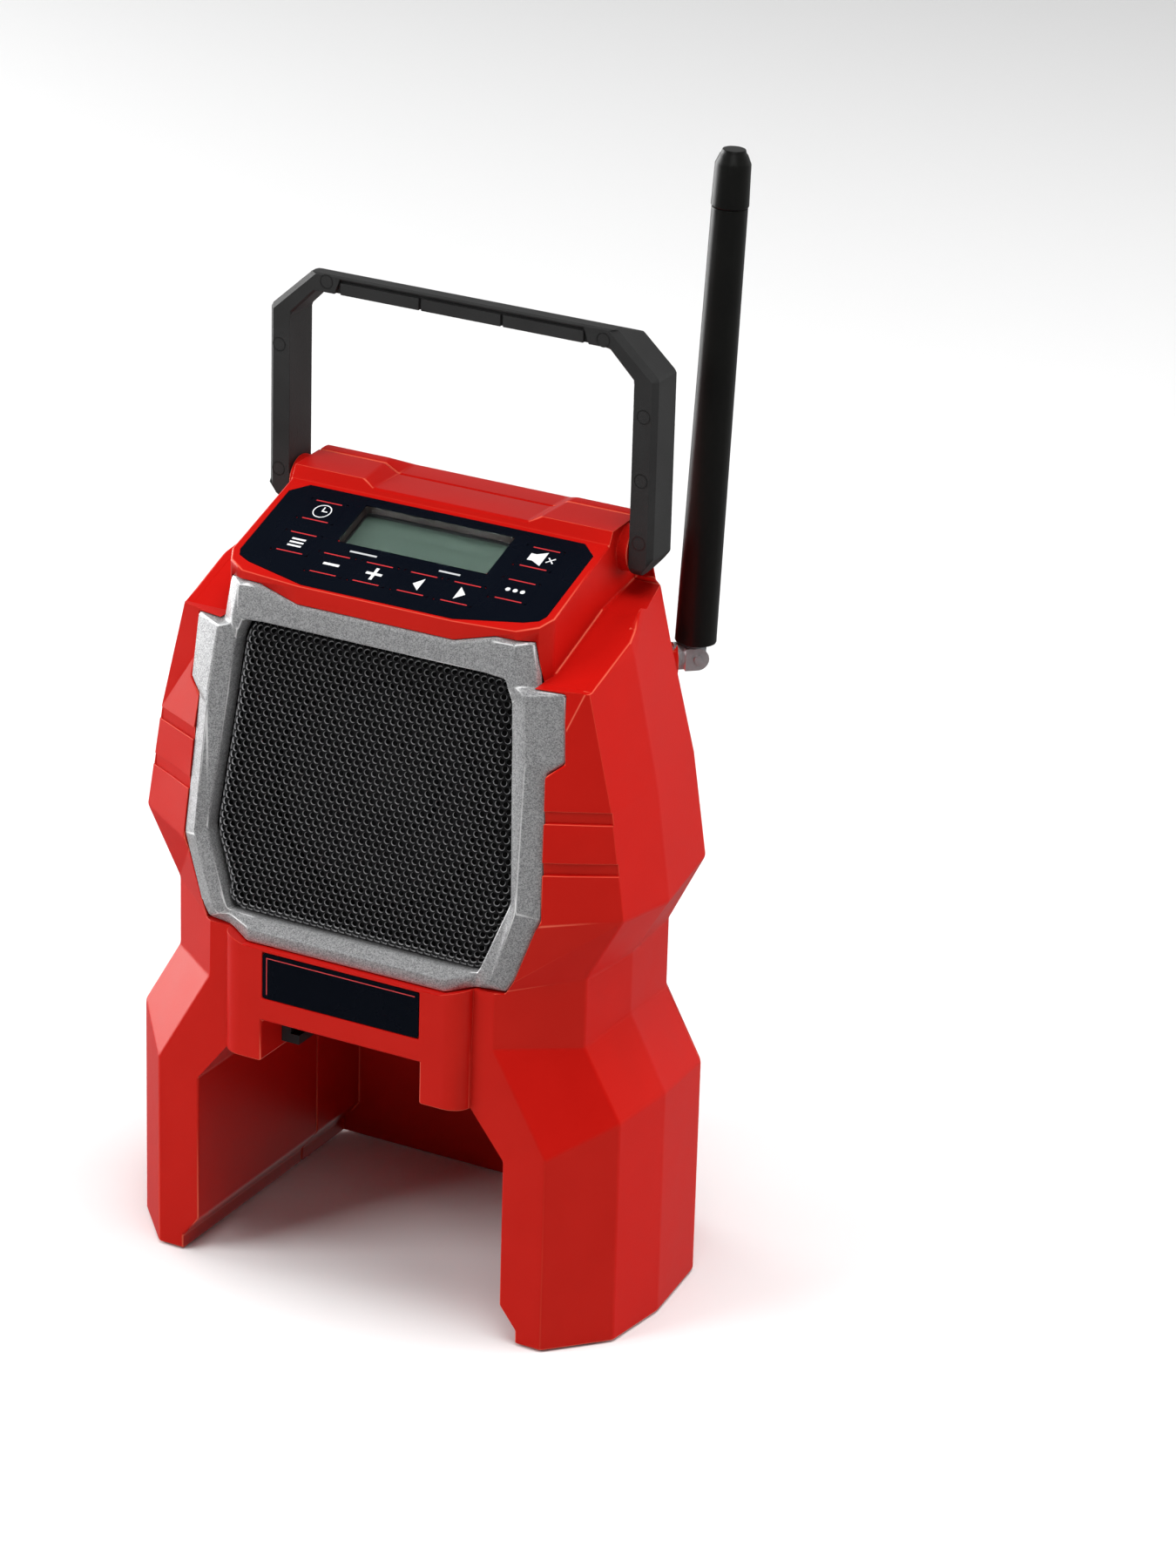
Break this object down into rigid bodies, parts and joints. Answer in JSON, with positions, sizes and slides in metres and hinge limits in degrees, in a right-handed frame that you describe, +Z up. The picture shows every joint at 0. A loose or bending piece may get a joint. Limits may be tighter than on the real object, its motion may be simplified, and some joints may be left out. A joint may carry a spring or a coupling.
{
  "type": "jobsite radio",
  "caption": "Hourglass jobsite radio with a grilled speaker, sloping keyed display panel, fold-down handle, swivelling rod aerial and an open bay for a slide-on battery.",
  "frame": {"origin": "centre of the bounding box's footprint, on the surface the feet stand on", "axes": "+Z up, front (grille and panel) toward -Y, right side (aerial) toward +X"},
  "size_m": [0.1692, 0.107, 0.3445],
  "materials": {
    "casing_red": "satin gloss with a fine moulded grain",
    "rubber_black": "matte",
    "bezel_silver": "fine sparkle silver paint",
    "grille_black": "satin powder coat over pressed steel",
    "label_navy": "smooth printed film",
    "window_clear": "clear gloss",
    "display_grey_green": "satin",
    "white_plastic": "matte",
    "switch_black": "matte",
    "board_green": "solder-resist satin",
    "handle_black": "fine texture",
    "screw_steel": "zinc plated",
    "chrome_metal": "polished",
    "basket_steel": "satin black",
    "magnet_grey": "dull",
    "cone_paper": "pressed paper",
    "shield_tin": "tinned",
    "capacitor_blue": "printed sleeve",
    "terminal_copper": "bright",
    "lead_insulation": "soft insulation",
    "ribbon_grey": "soft insulation"
  },
  "bodies": {
    "casing": {"front_casing": "casing_red", "rear_casing": "casing_red", "rubber_feet": "rubber_black", "speaker_surround": "rubber_black", "speaker_gasket": "rubber_black", "speaker_bezel": "bezel_silver", "speaker_grille": "grille_black", "badge_plate": "label_navy", "control_overlay": "label_navy", "display_window": "window_clear", "lcd_glass": "display_grey_green", "lcd_holder": "white_plastic", "backlight_panel": "white_plastic", "board_connectors": "white_plastic", "key_switches": "switch_black", "terminal_block": "switch_black", "battery_dock": "switch_black", "control_board": "board_green", "main_board": "board_green", "casing_screws": "screw_steel", "bezel_screws": "screw_steel", "control_board_screws": "screw_steel", "speaker_screws": "screw_steel", "main_board_screws": "screw_steel", "dock_screws": "screw_steel", "aerial_nut": "screw_steel", "aerial_mount": "chrome_metal", "speaker_basket": "basket_steel", "speaker_magnet": "magnet_grey", "speaker_cone": "cone_paper", "speaker_dust_cap": "cone_paper", "tuner_shield": "shield_tin", "capacitors": "capacitor_blue", "terminal_blades": "terminal_copper", "battery_leads": "lead_insulation", "speaker_leads": "lead_insulation", "aerial_lead": "lead_insulation", "ribbon_cable": "ribbon_grey"},
    "handle": {"handle": "handle_black", "handle_screws": "screw_steel", "handle_washers": "screw_steel"},
    "aerial_swivel": {"aerial_knuckle": "chrome_metal", "aerial_hinge_pin": "chrome_metal"},
    "aerial_rod": {"aerial_ferrule": "chrome_metal", "aerial_core": "screw_steel", "aerial_sleeve": "rubber_black", "aerial_cap": "rubber_black"},
    "key_clock": {"key_clock": "label_navy"},
    "key_channel": {"key_channel": "label_navy"},
    "key_volume_down": {"key_volume_down": "label_navy"},
    "key_volume_up": {"key_volume_up": "label_navy"},
    "key_seek_back": {"key_seek_back": "label_navy"},
    "key_seek_forward": {"key_seek_forward": "label_navy"},
    "key_mute": {"key_mute": "label_navy"},
    "key_mode": {"key_mode": "label_navy"}
  },
  "joints": [
    {"name": "handle_fold", "type": "hinge", "parent": "casing", "child": "handle", "pos_m": [0, 0.0165, 0.231], "axis": [1, 0, 0], "range_deg": [0, 107]},
    {"name": "aerial_swivel", "type": "hinge", "parent": "casing", "child": "aerial_swivel", "pos_m": [0.0626, 0.044, 0.19], "axis": [0.7431, 0.6691, 0], "range_deg": [-90, 90]},
    {"name": "aerial_tilt", "type": "hinge", "parent": "aerial_swivel", "child": "aerial_rod", "pos_m": [0.0626, 0.044, 0.19], "axis": [-0.6691, 0.7431, 0], "range_deg": [0, 85]},
    {"name": "key_clock_press", "type": "slide", "parent": "casing", "child": "key_clock", "axis": [0, 0.342, -0.9397], "range_m": [0, 0.0005], "stiffness_N_per_m": 900},
    {"name": "key_channel_press", "type": "slide", "parent": "casing", "child": "key_channel", "axis": [0, 0.342, -0.9397], "range_m": [0, 0.0005], "stiffness_N_per_m": 900},
    {"name": "key_volume_down_press", "type": "slide", "parent": "casing", "child": "key_volume_down", "axis": [0, 0.342, -0.9397], "range_m": [0, 0.0005], "stiffness_N_per_m": 900},
    {"name": "key_volume_up_press", "type": "slide", "parent": "casing", "child": "key_volume_up", "axis": [0, 0.342, -0.9397], "range_m": [0, 0.0005], "stiffness_N_per_m": 900},
    {"name": "key_seek_back_press", "type": "slide", "parent": "casing", "child": "key_seek_back", "axis": [0, 0.342, -0.9397], "range_m": [0, 0.0005], "stiffness_N_per_m": 900},
    {"name": "key_seek_forward_press", "type": "slide", "parent": "casing", "child": "key_seek_forward", "axis": [0, 0.342, -0.9397], "range_m": [0, 0.0005], "stiffness_N_per_m": 900},
    {"name": "key_mute_press", "type": "slide", "parent": "casing", "child": "key_mute", "axis": [0, 0.342, -0.9397], "range_m": [0, 0.0005], "stiffness_N_per_m": 900},
    {"name": "key_mode_press", "type": "slide", "parent": "casing", "child": "key_mode", "axis": [0, 0.342, -0.9397], "range_m": [0, 0.0005], "stiffness_N_per_m": 900}
  ]
}
